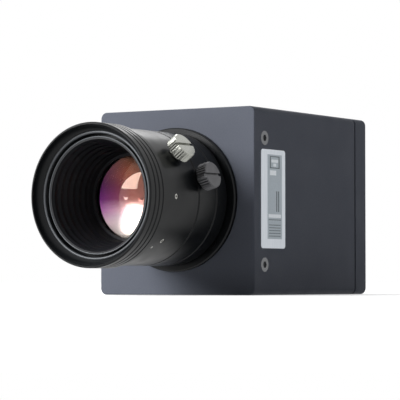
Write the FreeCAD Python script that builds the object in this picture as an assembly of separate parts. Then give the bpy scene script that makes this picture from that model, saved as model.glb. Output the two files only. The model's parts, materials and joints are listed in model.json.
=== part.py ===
"""Machine vision camera with a manual C-mount lens, as an assembly of separate solids.

Frame: millimetres, +Z up. The origin is the mouth of the tripod socket, in the middle of the
flat base. The lens looks along -Y, +X is to the right as the front is seen.

Lens pieces are turned about their own axis: z is then the distance in front of the camera's
front face, and on_lens() puts the finished piece in place.
"""
import math
import os

import FreeCAD, Part

V = FreeCAD.Vector

# --- body -------------------------------------------------------------------------------------
BODY_W, BODY_H, BODY_D = 56.5, 57.5, 72.0
EDGE_R = 2.0                # rounding of the four lengthwise edges
RIM_R = 0.4                 # rounding of the edges round the front and back faces
WALL = 2.5
FRONT_WALL = 4.0
COVER_T = 7.2
GASKET_T = 0.8
GASKET_INSET = 0.4
GASKET_W = 8.0
AXIS_Z = 29.4               # height of the lens axis above the base
SNUG = 0.1                  # clearance of pieces that drop into each other
THREAD_GAP = 0.05           # radial gap of a screw in its thread
CUT_SPARE = 1.0             # how far a cutting shape passes the surface it opens

# --- fasteners: thread radius, head radius, head height ---------------------------------------
M2_R, M2_HEAD_R, M2_HEAD_H = 1.0, 1.9, 1.1
M25_R, M25_HEAD_R, M25_HEAD_H = 1.25, 2.2, 1.4
M3_R, M3_HEAD_R, M3_HEAD_H = 1.5, 2.75, 3.0
KEY_SHARE = 0.5             # hexagon key recess, as a share of the head's radius
BOSS = 7.5
BOSS_LENGTH = 16.0
COVER_SCREW_INSET = 5.6
COVER_SCREW_GRIP = 7.0
BOARD_SCREW_GRIP = 5.0
SIDE_SCREW_BACK = 6.2       # behind the front face
SIDE_SCREW_UP, SIDE_SCREW_DOWN = 9.3, 9.5   # from the base and from the roof
SIDE_SCREW_LENGTH = 8.0

# --- base interfaces --------------------------------------------------------------------------
TRIPOD_R, TRIPOD_DEPTH, TRIPOD_PAD_R = 2.55, 5.2, 7.0
BASE_HOLE_R, BASE_HOLE_DEPTH, BASE_PAD_R = 1.65, 5.0, 4.0
BASE_HOLE_DX, BASE_HOLE_DY = 32.0, 36.0
PAD_TOP = 6.2

# --- rating label -----------------------------------------------------------------------------
LABEL_BACK, LABEL_Z = 3.8, 14.3
LABEL_LENGTH, LABEL_HEIGHT, LABEL_T, LABEL_R = 14.6, 30.3, 0.15, 1.0

# --- camera mount -----------------------------------------------------------------------------
FLANGE_R, FLANGE_T = 22.25, 1.5
SPIGOT_R, SPIGOT_LENGTH = 17.0, 6.0
THREAD_R = 12.6             # lens thread, one inch across
FLANGE_SCREW_CIRCLE_R = 18.9
FLANGE_SCREW_LENGTH = 4.5
FLANGE_FOCAL = 17.526       # mount face to image plane

# --- inside the body --------------------------------------------------------------------------
CARRIER_LIP_T, CARRIER_LIP_R = 3.0, 13.0
HOLDER_T, WINDOW_X, WINDOW_Z = 3.0, 16.0, 13.0
FILTER_X, FILTER_Z, FILTER_T = 20.0, 17.0, 1.1
BOARD_T, BOARD_R = 1.6, 2.0
BOARD_SIDE_GAP, BOARD_PAD_GAP, BOARD_ROOF_GAP = 2.75, 0.4, 0.6
IO_BOARD_GAP = 0.5          # round the rear board
POST_INSET, POST_R = 5.5, 2.6
PACKAGE_SIDE, PACKAGE_T, PACKAGE_RIM = 26.0, 3.2, 3.0
DIE_X, DIE_Z, DIE_T = 14.2, 10.4, 0.5
COVER_GLASS_T = 0.6
BOARD_PITCH = 9.8           # clear space between sensor board and processor board
CHIP_SIDE, CHIP_T, PAD_T = 17.0, 1.8, 1.0
SPREADER_T, SPREADER_FOOT, SPREADER_DROP = 2.0, 10.0, 12.0
SPREADER_GAP = 0.9          # between the heat spreader and the board posts
MEMORY_X, MEMORY_Z, MEMORY_T = 9.0, 13.0, 1.2
LINK_X, LINK_Z = 22.0, 5.0

# --- rear panel -------------------------------------------------------------------------------
POCKET_RIM, POCKET_DEPTH, POCKET_R = 8.25, 3.2, 3.0
SOCKET_INSET, SOCKET_Z = 16.25, 24.0
SOCKET_R, SOCKET_BORE_R, SOCKET_OUT = 6.0, 4.9, 9.0
SOCKET_FLANGE_R, SOCKET_FLANGE_T = 8.0, 1.8
ORING_T, ORING_W = 0.6, 1.3
NUT_R, NUT_T = 8.0, 2.4
INSERT_FACE_BACK = 0.6      # socket insert below the shell's rim
PLUG_FACE_BACK = 6.2        # plug insert below the shell's rim
CONTACT_R, CONTACT_CIRCLE_R, CONTACT_RECESS = 0.45, 2.9, 1.2
NETWORK_CONTACTS, POWER_CONTACTS = 9, 7
LIGHT_R, LIGHT_PITCH, LIGHT_DOWN, LIGHT_PROUD = 1.3, 7.0, 11.5, 0.4

# --- lens: rear and barrel --------------------------------------------------------------------
MOUNT_THREAD_BACK = 2.5     # thread's reach behind the front face
SHOULDER_R, SHOULDER_TOP = 15.2, 3.0
REAR_SPIGOT_R, REAR_SPIGOT_TOP = 14.0, 4.5
REAR_BORE_R, REAR_LIP_R = 10.1, 9.0
REAR_GLASS = (-0.4, 2.4)
REAR_RETAINER = (-2.0, -0.4)
BARREL_R = 20.5
RING_WALL, TUBE_WALL = 3.3, 2.4
BASE_TOP = 9.0
TUBE_TOP = 30.0
WEB_TOP, WEB_BORE_R, WEB_LIP_R, WEB_LIP_TOP = 8.0, 9.2, 8.4, 5.2
RING_GAP = 0.2              # between pieces that turn on or beside each other
ROUND_EDGE = 0.35           # broken edges of the turned rings

# --- lens: iris -------------------------------------------------------------------------------
IRIS_TOP = 18.9
IRIS_TRAVEL = 60.0
BLADES = 6
BLADE_T, BLADE_LAYER, BLADE_LIFT = 0.12, 0.17, 0.1
BLADE_IN_R, BLADE_W, BLADE_SPAN = 8.8, 3.8, 100.0
PIVOT_R, PIVOT_GAP, PIVOT_INSET, EYE_R = 0.45, 0.1, 1.1, 1.0
SEAT_T, ACTUATOR_T, ACTUATOR_GAP = 1.2, 1.3, 0.3
CLOSER_T = 0.8
LINK_PIN_R, LINK_PIN_ANGLE, LINK_SLOT_SPARE = 0.5, 200.0, 5.0

# --- lens: focus and front --------------------------------------------------------------------
FOCUS_TOP = 37.2
SET_SCREW_R, SET_SCREW_S, SET_SCREW_SINK = 0.8, 31.5, 0.12
SET_SCREW_ANGLES = (-1.0, 119.0, 239.0, -41.0, 79.0, 199.0)
SKIRT_BACK, SKIRT_WALL = 16.5, 1.2
CELL_BACK, CELL_TOP, CELL_LIP = 31.2, 42.6, 0.35
OPTIC_LIP = 1.0
SECOND_GLASS = (17.5, 20.6)
FRONT_GLASS = (21.6, 25.0)
FRONT_RETAINER_TOP, FRONT_RETAINER_W = 26.0, 0.8
# bulge of each glass's back and front face, negative where the face is hollow
REAR_BULGES, INNER_BULGES = (0.6, 1.1), (-0.8, 0.7)
SECOND_BULGES, FRONT_BULGES = (0.6, -2.0), (-0.9, 2.7)
HOOD_BACK, HOOD_TOP = 37.6, 46.5
HOOD_LAND_BACK, HOOD_LAND_TOP = 40.6, 43.1
HOOD_LAND_GAP = 1.2         # groove between the cell's lip and the hood's land
HOOD_WALL, HOOD_RIM = 2.9, 0.65
FLARE_SAG = 0.5             # how far the flare's wall is hollowed
GROOVE_DEPTH, GROOVE_W = 0.45, 0.7
HOOD_GROOVES = (39.6, 41.6, 43.6)
BAFFLES, BAFFLE_W, BAFFLE_DEPTH = 7, 1.0, 0.25

# --- lock screws: angle from +X towards +Z, distance in front of the face ---------------------
LOCK_HEAD_R, LOCK_HEAD_H, LOCK_STANDOFF = 4.1, 3.4, 1.4
LOCK_NECK_R, LOCK_SHANK_R = 2.2, 1.2
LOCK_TEETH, LOCK_TOOTH = 32, 0.18
LOCK_SLOT_W, LOCK_SLOT_DEPTH = 0.9, 0.8
LOCK_TIP_GAP = 0.25         # screw tip to the tube it presses on when tightened
FOCUS_LOCK = (37.0, 26.2)
IRIS_LOCK = (15.0, 17.3)

# --- derived places ---------------------------------------------------------------------------
FRONT_Y, REAR_Y = -BODY_D / 2, BODY_D / 2
COVER_Y = REAR_Y - COVER_T
HOUSING_END = COVER_Y - GASKET_T
CAVITY_Y = FRONT_Y + FRONT_WALL
CENTRE_Z = BODY_H / 2
BOSS_Y = HOUSING_END - BOSS_LENGTH
IMAGE_Y = FRONT_Y - FLANGE_T + FLANGE_FOCAL
SPIGOT_END = FRONT_Y + SPIGOT_LENGTH
HOLDER_END = SPIGOT_END + HOLDER_T
CARRIER_END = HOLDER_END + CARRIER_LIP_T
SENSOR_BOARD_Y = IMAGE_Y + DIE_T + (PACKAGE_T - DIE_T) / 2
PROCESSOR_BOARD_Y = SENSOR_BOARD_Y + BOARD_T + BOARD_PITCH
IO_BOARD_Y = BOSS_Y - BOARD_T
IRIS_SEAT_TOP = WEB_TOP + SEAT_T
BLADE_S = IRIS_SEAT_TOP + BLADE_LIFT
BLADES_TOP = BLADE_S + BLADES * BLADE_LAYER
ACTUATOR_S = BLADES_TOP + ACTUATOR_GAP
ACTUATOR_TOP = ACTUATOR_S + ACTUATOR_T
CLOSER_S = ACTUATOR_TOP + RING_GAP
RING_BORE_R = BARREL_R - RING_WALL
TUBE_R = RING_BORE_R - RING_GAP
CHAMBER_R = TUBE_R - TUBE_WALL
PIVOT_CIRCLE_R = CHAMBER_R - PIVOT_INSET
BLADE_OUT_R = BLADE_IN_R + BLADE_W
BLADE_MIDDLE_R = BLADE_IN_R + BLADE_W / 2
SKIRT_R = CHAMBER_R - RING_GAP
OPTIC_BORE_R = SKIRT_R - SKIRT_WALL
OPTIC_LIP_R = OPTIC_BORE_R - OPTIC_LIP
FRONT_RETAINER_R = OPTIC_BORE_R - FRONT_RETAINER_W
CELL_R = RING_BORE_R - RING_GAP - THREAD_GAP
CELL_LIP_R = CELL_R + CELL_LIP
HOOD_LAND_R = CELL_LIP_R + HOOD_LAND_GAP
HOOD_R = HOOD_LAND_R + HOOD_WALL
HOOD_MOUTH_R = HOOD_R - HOOD_RIM
BOARD_LOW, BOARD_HIGH = PAD_TOP + BOARD_PAD_GAP, BODY_H - WALL - SPREADER_T - BOARD_ROOF_GAP
BOARD_W = BODY_W - 2 * (WALL + BOARD_SIDE_GAP)
SPREADER_W = BOARD_W - 2 * (POST_INSET + POST_R + SPREADER_GAP)


# --- shape helpers ----------------------------------------------------------------------------
def save(node, *solids):
    """Write one sub-part; several solids that are alike go in one file."""
    shape = solids[0] if len(solids) == 1 else Part.makeCompound(list(solids))
    shape.exportStep("parts/%s.step" % node)
    print("%-24s %8.0f mm3" % (node, shape.Volume))


def slab(width, height, radius, y0, y1, x=0.0, z=CENTRE_Z):
    """A plate with rounded corners across X and Z, from y0 to y1."""
    w, h, r = width / 2, height / 2, radius
    k = r * (1 - math.sqrt(0.5))
    at = lambda px, pz: V(x + px, y0, z + pz)
    edges = []
    corners = ((1, 1), (-1, 1), (-1, -1), (1, -1))
    for i, (sx, sz) in enumerate(corners):
        start = at(sx * w, sz * (h - r)) if sx * sz > 0 else at(sx * (w - r), sz * h)
        end = at(sx * (w - r), sz * h) if sx * sz > 0 else at(sx * w, sz * (h - r))
        edges.append(Part.Arc(start, at(sx * (w - k), sz * (h - k)), end).toShape())
        nx, nz = corners[(i + 1) % 4]
        follow = at(nx * w, nz * (h - r)) if nx * nz > 0 else at(nx * (w - r), nz * h)
        edges.append(Part.LineSegment(end, follow).toShape())
    return Part.Face(Part.Wire(edges)).extrude(V(0, y1 - y0, 0))


def rod(radius, start, end):
    """A cylinder from one point to another."""
    return Part.makeCylinder(radius, (end - start).Length, start, end - start)


def hexagon(radius, start, end):
    """A six-sided bar from one point to another."""
    along = end - start
    side = along.cross(V(0, 0, 1) if abs(along.z) < along.Length / 2 else V(1, 0, 0))
    side.normalize()
    points = []
    for i in range(7):
        turn = FreeCAD.Rotation(along, 60 * i)
        points.append(start + turn.multVec(side) * radius)
    return Part.Face(Part.makePolygon(points)).extrude(along)


def ring(inner, outer, s0, s1):
    """A plain ring about the lens axis."""
    body = Part.makeCylinder(outer, s1 - s0, V(0, 0, s0))
    return body.cut(Part.makeCylinder(inner, s1 - s0, V(0, 0, s0)))


def turned(points):
    """A solid of revolution about the lens axis from (radius, distance) corners.

    A corner given with a third value is reached by an arc bowed sideways by that much.
    """
    edges = []
    for i, here in enumerate(points):
        last = points[i - 1]
        a, b = V(last[0], 0, last[1]), V(here[0], 0, here[1])
        if len(here) == 3:
            middle = (a + b) * 0.5 + V(b.z - a.z, 0, a.x - b.x).normalize() * here[2]
            edges.append(Part.Arc(a, middle, b).toShape())
        else:
            edges.append(Part.LineSegment(a, b).toShape())
    face = Part.Face(Part.Wire(edges))
    return Part.makeSolid(face.revolve(V(0, 0, 0), V(0, 0, 1), 360))


def sector(inner, outer, s0, s1, start, span):
    """Part of a ring, from the start angle through the span, in degrees."""
    wedge = Part.makeCylinder(outer, s1 - s0, V(0, 0, s0), V(0, 0, 1), span)
    wedge = wedge.cut(Part.makeCylinder(inner, s1 - s0, V(0, 0, s0)))
    wedge.rotate(V(0, 0, 0), V(0, 0, 1), start)
    return wedge


def radial(angle, radius, s):
    """The point at this angle and radius, this far in front of the face, in the lens's frame."""
    a = math.radians(angle)
    return V(radius * math.cos(a), radius * math.sin(a), s)


def on_lens(shape):
    """Put a piece made about the lens axis in its place on the camera."""
    shape = shape.copy()
    shape.rotate(V(0, 0, 0), V(1, 0, 0), 90)
    shape.translate(V(0, FRONT_Y, AXIS_Z))
    return shape


def glass(radius, clear_r, span, back, front):
    """A lens element with a flat seat round each face.

    back and front are how far each polished face bulges, negative if hollow.
    """
    s0, s1 = span

    def polished(edge_s, bulge):
        sphere = (clear_r ** 2 + bulge ** 2) / (2 * bulge)
        height = math.copysign(math.sqrt(sphere ** 2 - clear_r ** 2 / 4), bulge)
        half_way = edge_s + bulge - sphere + height
        return [V(0, 0, edge_s + bulge), V(clear_r / 2, 0, half_way), V(clear_r, 0, edge_s)]

    rear, face = polished(s0, -back), polished(s1, front)
    corners = [rear[2], V(radius, 0, s0), V(radius, 0, s1), face[2]]
    edges = [Part.Arc(*rear).toShape()]
    edges += [Part.LineSegment(a, b).toShape() for a, b in zip(corners, corners[1:])]
    edges += [Part.Arc(*face[::-1]).toShape(), Part.LineSegment(face[0], rear[0]).toShape()]
    return Part.makeSolid(Part.Face(Part.Wire(edges)).revolve(V(0, 0, 0), V(0, 0, 1), 360))


def at_corners(dx, dz, x=0.0, z=CENTRE_Z):
    """The four corners of a pattern across X and Z."""
    return [(x + sx * dx, z + sz * dz) for sx in (-1, 1) for sz in (-1, 1)]


def socket_screw(thread_r, head_r, head_h, length, seat, along):
    """A cylinder-head screw: seat is the point under its head, along is its way in."""
    shape = rod(thread_r, seat, seat + along * length)
    shape = shape.fuse(rod(head_r, seat - along * head_h, seat))
    top = seat - along * head_h
    key = hexagon(head_r * KEY_SHARE, top, top + along * (head_h * KEY_SHARE))
    return shape.cut(key).removeSplitter()


def flat_screw(thread_r, head_r, head_h, length, top, along):
    """A countersunk screw: top is the middle of its flat head, along is its way in."""
    shape = rod(thread_r, top, top + along * length)
    shape = shape.fuse(Part.makeCone(head_r, thread_r, head_h, top, along))
    key = hexagon(head_r * KEY_SHARE, top, top + along * (head_h * KEY_SHARE))
    return shape.cut(key).removeSplitter()


def flat_screw_hole(thread_r, head_r, head_h, length, top, along):
    """The space that a countersunk screw sits in."""
    hole = rod(thread_r + THREAD_GAP, top, top + along * (length + SNUG))
    head = Part.makeCone(head_r + THREAD_GAP, thread_r + THREAD_GAP, head_h, top, along)
    return hole.fuse(head)


# --- body -------------------------------------------------------------------------------------
def round_rim(shape, y):
    """Round the edges of the face at this y."""
    rim = [e for e in shape.Edges if all(abs(v.Point.y - y) < RIM_R / 10 for v in e.Vertexes)]
    return shape.makeFillet(RIM_R, rim)


def cover_screw_places():
    return at_corners(BODY_W / 2 - COVER_SCREW_INSET, BODY_H / 2 - COVER_SCREW_INSET)


def side_screw_tops():
    """Middle of each side screw's head, with its way in."""
    y = FRONT_Y + SIDE_SCREW_BACK
    heights = (SIDE_SCREW_UP, BODY_H - SIDE_SCREW_DOWN)
    return [(V(s * BODY_W / 2, y, z), V(-s, 0, 0)) for s in (-1, 1) for z in heights]


def flange_screw_tops():
    """Middle of each mount screw's head, in the lens's frame."""
    return [radial(45 + 90 * i, FLANGE_SCREW_CIRCLE_R, FLANGE_T) for i in range(4)]


def housing():
    """Die-cast cup, open at the back, with screw bosses and threaded pads on its floor."""
    inner_w, inner_h = BODY_W - 2 * WALL, BODY_H - 2 * WALL
    outer = round_rim(slab(BODY_W, BODY_H, EDGE_R, FRONT_Y, HOUSING_END), FRONT_Y)
    shape = outer.cut(slab(inner_w, inner_h, EDGE_R / 2, CAVITY_Y, HOUSING_END))
    for x, z in at_corners((inner_w - BOSS) / 2, (inner_h - BOSS) / 2):
        shape = shape.fuse(slab(BOSS, BOSS, EDGE_R / 2, BOSS_Y, HOUSING_END, x, z).common(outer))
    shape = shape.fuse(rod(TRIPOD_PAD_R, V(0, 0, 0), V(0, 0, PAD_TOP)))
    base_holes = at_corners(BASE_HOLE_DX / 2, BASE_HOLE_DY / 2, z=0.0)
    for x, y in base_holes:
        shape = shape.fuse(rod(BASE_PAD_R, V(x, y, 0), V(x, y, PAD_TOP)))
    shape = shape.cut(rod(TRIPOD_R, V(0, 0, 0), V(0, 0, TRIPOD_DEPTH)))
    for x, y in base_holes:
        shape = shape.cut(rod(BASE_HOLE_R, V(x, y, 0), V(x, y, BASE_HOLE_DEPTH)))
    for x, z in cover_screw_places():
        shape = shape.cut(rod(M3_R + THREAD_GAP, V(x, HOUSING_END - COVER_SCREW_GRIP - SNUG, z),
                              V(x, HOUSING_END, z)))
        shape = shape.cut(rod(M25_R + THREAD_GAP, V(x, BOSS_Y, z),
                              V(x, BOSS_Y + BOARD_SCREW_GRIP + SNUG, z)))
    for top, along in side_screw_tops():
        shape = shape.cut(flat_screw_hole(M25_R, M25_HEAD_R, M25_HEAD_H, SIDE_SCREW_LENGTH, top, along))
    bore = Part.makeCylinder(SPIGOT_R + SNUG, FRONT_WALL, V(0, 0, -FRONT_WALL))
    for top in flange_screw_tops():
        bore = bore.fuse(rod(M2_R + THREAD_GAP, V(top.x, top.y, 0),
                             V(top.x, top.y, FLANGE_T - FLANGE_SCREW_LENGTH - SNUG)))
    return shape.cut(on_lens(bore)).removeSplitter()


def gasket():
    width, height = BODY_W - 2 * GASKET_INSET, BODY_H - 2 * GASKET_INSET
    shape = slab(width, height, EDGE_R, HOUSING_END, COVER_Y)
    shape = shape.cut(slab(width - 2 * GASKET_W, height - 2 * GASKET_W, EDGE_R, HOUSING_END, COVER_Y))
    for x, z in cover_screw_places():
        shape = shape.cut(rod(M3_R + SNUG, V(x, HOUSING_END, z), V(x, COVER_Y, z)))
    return shape


def socket_places():
    x = BODY_W / 2 - SOCKET_INSET
    return (-x, SOCKET_Z), (x, SOCKET_Z)


def light_places():
    return [(LIGHT_PITCH * i, BODY_H - LIGHT_DOWN) for i in (-1, 0, 1)]


def rear_cover():
    """Thick rear plate, hollowed inside, with counterbored corner screws and panel sockets."""
    shape = round_rim(slab(BODY_W, BODY_H, EDGE_R, COVER_Y, REAR_Y), REAR_Y)
    pocket_w, pocket_h = BODY_W - 2 * POCKET_RIM, BODY_H - 2 * POCKET_RIM
    shape = shape.cut(slab(pocket_w, pocket_h, POCKET_R, COVER_Y, COVER_Y + POCKET_DEPTH))
    for x, z in cover_screw_places():
        shape = shape.cut(rod(M3_R + SNUG, V(x, COVER_Y, z), V(x, REAR_Y, z)))
        shape = shape.cut(rod(M3_HEAD_R + SNUG, V(x, REAR_Y - M3_HEAD_H - SNUG, z), V(x, REAR_Y, z)))
    for x, z in socket_places():
        shape = shape.cut(rod(SOCKET_R + SNUG, V(x, COVER_Y, z), V(x, REAR_Y, z)))
    for x, z in light_places():
        shape = shape.cut(rod(LIGHT_R, V(x, COVER_Y, z), V(x, REAR_Y, z)))
    return shape


def cover_screws():
    seat_y = REAR_Y - M3_HEAD_H - SNUG
    length = seat_y - HOUSING_END + COVER_SCREW_GRIP
    return [socket_screw(M3_R, M3_HEAD_R, M3_HEAD_H, length, V(x, seat_y, z), V(0, -1, 0))
            for x, z in cover_screw_places()]


def light_pipes():
    y0, y1 = COVER_Y + POCKET_DEPTH, REAR_Y + LIGHT_PROUD
    return [rod(LIGHT_R, V(x, y0, z), V(x, y1, z)) for x, z in light_places()]


def label():
    """Thin plate on the right-hand side."""
    plate = slab(LABEL_LENGTH, LABEL_HEIGHT, LABEL_R, 0, -LABEL_T, 0, 0)
    plate.rotate(V(0, 0, 0), V(0, 0, 1), 90)
    plate.translate(V(BODY_W / 2, FRONT_Y + LABEL_BACK + LABEL_LENGTH / 2, LABEL_Z + LABEL_HEIGHT / 2))
    return plate


# --- mount and image sensor -------------------------------------------------------------------
def mount_flange():
    shape = turned([(THREAD_R + THREAD_GAP, -SPIGOT_LENGTH), (SPIGOT_R, -SPIGOT_LENGTH), (SPIGOT_R, 0),
                    (FLANGE_R, 0), (FLANGE_R, FLANGE_T - ROUND_EDGE), (FLANGE_R - ROUND_EDGE, FLANGE_T),
                    (THREAD_R + THREAD_GAP, FLANGE_T)])
    for top in flange_screw_tops():
        shape = shape.cut(flat_screw_hole(M2_R, M2_HEAD_R, M2_HEAD_H, FLANGE_SCREW_LENGTH, top, V(0, 0, -1)))
    return on_lens(shape)


def mount_screws():
    return [on_lens(flat_screw(M2_R, M2_HEAD_R, M2_HEAD_H, FLANGE_SCREW_LENGTH, top, V(0, 0, -1)))
            for top in flange_screw_tops()]


def post_places():
    middle, half = (BOARD_LOW + BOARD_HIGH) / 2, (BOARD_HIGH - BOARD_LOW) / 2
    return at_corners(BOARD_W / 2 - POST_INSET, half - POST_INSET, z=middle)


def sensor_carrier():
    """Cast frame behind the front wall: seats the filter and carries the sensor board on posts."""
    gap = 2 * (WALL + SNUG)
    shape = slab(BODY_W - gap, BODY_H - gap, EDGE_R / 2, CAVITY_Y, CARRIER_END)
    for x, z in post_places():
        shape = shape.fuse(rod(POST_R, V(x, CARRIER_END, z), V(x, SENSOR_BOARD_Y, z)))
    shape = shape.cut(rod(SPIGOT_R + SNUG, V(0, CAVITY_Y, AXIS_Z), V(0, HOLDER_END, AXIS_Z)))
    shape = shape.cut(rod(CARRIER_LIP_R, V(0, CAVITY_Y, AXIS_Z), V(0, CARRIER_END, AXIS_Z)))
    for top, along in side_screw_tops():
        shape = shape.cut(flat_screw_hole(M25_R, M25_HEAD_R, M25_HEAD_H, SIDE_SCREW_LENGTH, top, along))
    return shape


def side_screws():
    return [flat_screw(M25_R, M25_HEAD_R, M25_HEAD_H, SIDE_SCREW_LENGTH, top, along)
            for top, along in side_screw_tops()]


def filter_holder():
    shape = rod(SPIGOT_R, V(0, SPIGOT_END, AXIS_Z), V(0, HOLDER_END, AXIS_Z))
    shape = shape.cut(slab(FILTER_X + SNUG, FILTER_Z + SNUG, ROUND_EDGE, SPIGOT_END,
                           SPIGOT_END + FILTER_T, z=AXIS_Z))
    return shape.cut(slab(WINDOW_X, WINDOW_Z, ROUND_EDGE, SPIGOT_END, HOLDER_END, z=AXIS_Z))


def filter_glass():
    return slab(FILTER_X, FILTER_Z, ROUND_EDGE, SPIGOT_END, SPIGOT_END + FILTER_T, z=AXIS_Z)


def package_front():
    return SENSOR_BOARD_Y - PACKAGE_T


def sensor_package():
    """Ceramic tray with the image sensor's well."""
    y0 = package_front()
    shape = slab(PACKAGE_SIDE, PACKAGE_SIDE, ROUND_EDGE, y0, SENSOR_BOARD_Y, z=AXIS_Z)
    well = PACKAGE_SIDE - 2 * PACKAGE_RIM
    return shape.cut(slab(well, well, ROUND_EDGE, y0, IMAGE_Y + DIE_T, z=AXIS_Z))


def sensor_die():
    return slab(DIE_X, DIE_Z, ROUND_EDGE, IMAGE_Y, IMAGE_Y + DIE_T, z=AXIS_Z)


def sensor_cover_glass():
    side = PACKAGE_SIDE - PACKAGE_RIM
    return slab(side, side, ROUND_EDGE, package_front() - COVER_GLASS_T, package_front(), z=AXIS_Z)


# --- electronics ------------------------------------------------------------------------------
def board(y, posts):
    """A circuit board across the body, drilled at the posts."""
    middle = (BOARD_LOW + BOARD_HIGH) / 2
    shape = slab(BOARD_W, BOARD_HIGH - BOARD_LOW, BOARD_R, y, y + BOARD_T, z=middle)
    for x, z in posts:
        shape = shape.cut(rod(M2_R + SNUG, V(x, y, z), V(x, y + BOARD_T, z)))
    return shape


def io_board():
    """Board on the housing's bosses; it carries the rear sockets' contacts."""
    around = 2 * (WALL + IO_BOARD_GAP)
    shape = slab(BODY_W - around, BODY_H - around - 2 * SPREADER_T, BOARD_R, IO_BOARD_Y, BOSS_Y)
    for x, z in cover_screw_places():
        shape = shape.cut(rod(M25_R + SNUG, V(x, IO_BOARD_Y, z), V(x, BOSS_Y, z)))
    return shape


def io_board_screws():
    length = BOARD_T + BOARD_SCREW_GRIP
    return [socket_screw(M25_R, M25_HEAD_R, M25_HEAD_H, length, V(x, IO_BOARD_Y, z), V(0, 1, 0))
            for x, z in cover_screw_places()]


def posts(y0, y1):
    return [hexagon(POST_R, V(x, y0, z), V(x, y1, z)) for x, z in post_places()]


def chip_y():
    return PROCESSOR_BOARD_Y + BOARD_T


def heat_spreader():
    """Bent plate from the processor up to the roof of the housing."""
    y0 = chip_y() + CHIP_T + PAD_T
    roof = BODY_H - WALL
    upright = Part.makeBox(SPREADER_W, SPREADER_T, roof - (AXIS_Z - SPREADER_DROP),
                           V(-SPREADER_W / 2, y0, AXIS_Z - SPREADER_DROP))
    foot = Part.makeBox(SPREADER_W, SPREADER_FOOT, SPREADER_T, V(-SPREADER_W / 2, y0, roof - SPREADER_T))
    return upright.fuse(foot).removeSplitter()


def memory_chips():
    y = PROCESSOR_BOARD_Y - MEMORY_T
    return [slab(MEMORY_X, MEMORY_Z, ROUND_EDGE, y, PROCESSOR_BOARD_Y, s * MEMORY_X, AXIS_Z) for s in (-1, 1)]


def board_link(y0, y1):
    """Stacking connector between two boards, along their lower edge."""
    return slab(LINK_X, LINK_Z, ROUND_EDGE, y0, y1, z=BOARD_LOW + LINK_Z)


# --- rear sockets -----------------------------------------------------------------------------
def socket_rim():
    return REAR_Y + SOCKET_OUT


def socket_shell(place):
    x, z = place
    seat = REAR_Y + ORING_T
    shape = rod(SOCKET_R, V(x, COVER_Y, z), V(x, socket_rim(), z))
    shape = shape.fuse(rod(SOCKET_FLANGE_R, V(x, seat, z), V(x, seat + SOCKET_FLANGE_T, z)))
    return shape.cut(rod(SOCKET_BORE_R, V(x, COVER_Y, z), V(x, socket_rim(), z))).removeSplitter()


def socket_orings():
    rings = []
    for x, z in socket_places():
        outer = rod(SOCKET_R + THREAD_GAP + ORING_W, V(x, REAR_Y, z), V(x, REAR_Y + ORING_T, z))
        rings.append(outer.cut(rod(SOCKET_R + THREAD_GAP, V(x, REAR_Y, z), V(x, REAR_Y + ORING_T, z))))
    return rings


def socket_nuts():
    nuts = []
    y1 = COVER_Y + POCKET_DEPTH
    for x, z in socket_places():
        nut = hexagon(NUT_R, V(x, y1 - NUT_T, z), V(x, y1, z))
        nuts.append(nut.cut(rod(SOCKET_R + THREAD_GAP, V(x, y1 - NUT_T, z), V(x, y1, z))))
    return nuts


def contact_places(place, count):
    x, z = place
    places = [(x, z)]
    for i in range(count - 1):
        a = 2 * math.pi * i / (count - 1)
        places.append((x + CONTACT_CIRCLE_R * math.cos(a), z + CONTACT_CIRCLE_R * math.sin(a)))
    return places


def insert(place, count, face_back):
    """Moulded insulator, drilled for its contacts."""
    x, z = place
    y0, y1 = COVER_Y, socket_rim() - face_back
    shape = rod(SOCKET_BORE_R - THREAD_GAP, V(x, y0, z), V(x, y1, z))
    for px, pz in contact_places(place, count):
        shape = shape.cut(rod(CONTACT_R + THREAD_GAP, V(px, y0, pz), V(px, y1, pz)))
    return shape


def contacts(place, count, end):
    return [rod(CONTACT_R, V(x, BOSS_Y, z), V(x, end, z)) for x, z in contact_places(place, count)]


# --- lens: fixed pieces -----------------------------------------------------------------------
def lens_mount():
    return turned([(REAR_BORE_R, -MOUNT_THREAD_BACK), (THREAD_R, -MOUNT_THREAD_BACK), (THREAD_R, FLANGE_T),
                   (SHOULDER_R, FLANGE_T), (SHOULDER_R, SHOULDER_TOP), (REAR_SPIGOT_R, SHOULDER_TOP),
                   (REAR_SPIGOT_R, REAR_SPIGOT_TOP), (REAR_LIP_R, REAR_SPIGOT_TOP),
                   (REAR_LIP_R, REAR_GLASS[1]), (REAR_BORE_R, REAR_GLASS[1])])


def main_barrel():
    """Fixed barrel: base ring, web for the inner glass, and the tube that both rings turn on."""
    e = ROUND_EDGE
    bore = REAR_SPIGOT_R + THREAD_GAP
    shape = turned([(bore, SHOULDER_TOP), (BARREL_R - e, SHOULDER_TOP), (BARREL_R, SHOULDER_TOP + e),
                    (BARREL_R, BASE_TOP - e), (BARREL_R - e, BASE_TOP), (TUBE_R, BASE_TOP),
                    (TUBE_R, TUBE_TOP), (CHAMBER_R, TUBE_TOP), (CHAMBER_R, WEB_TOP), (WEB_BORE_R, WEB_TOP),
                    (WEB_BORE_R, WEB_LIP_TOP), (WEB_LIP_R, WEB_LIP_TOP), (WEB_LIP_R, REAR_SPIGOT_TOP),
                    (bore, REAR_SPIGOT_TOP)])
    half = LINK_PIN_R + RING_GAP
    s = (ACTUATOR_S + ACTUATOR_TOP) / 2
    slot = sector(CHAMBER_R - CUT_SPARE, TUBE_R + CUT_SPARE, s - half, s + half,
                  LINK_PIN_ANGLE - LINK_SLOT_SPARE, IRIS_TRAVEL + 2 * LINK_SLOT_SPARE)
    return shape.cut(slot)


def blade_angle(i):
    return 360.0 / BLADES * i


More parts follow.
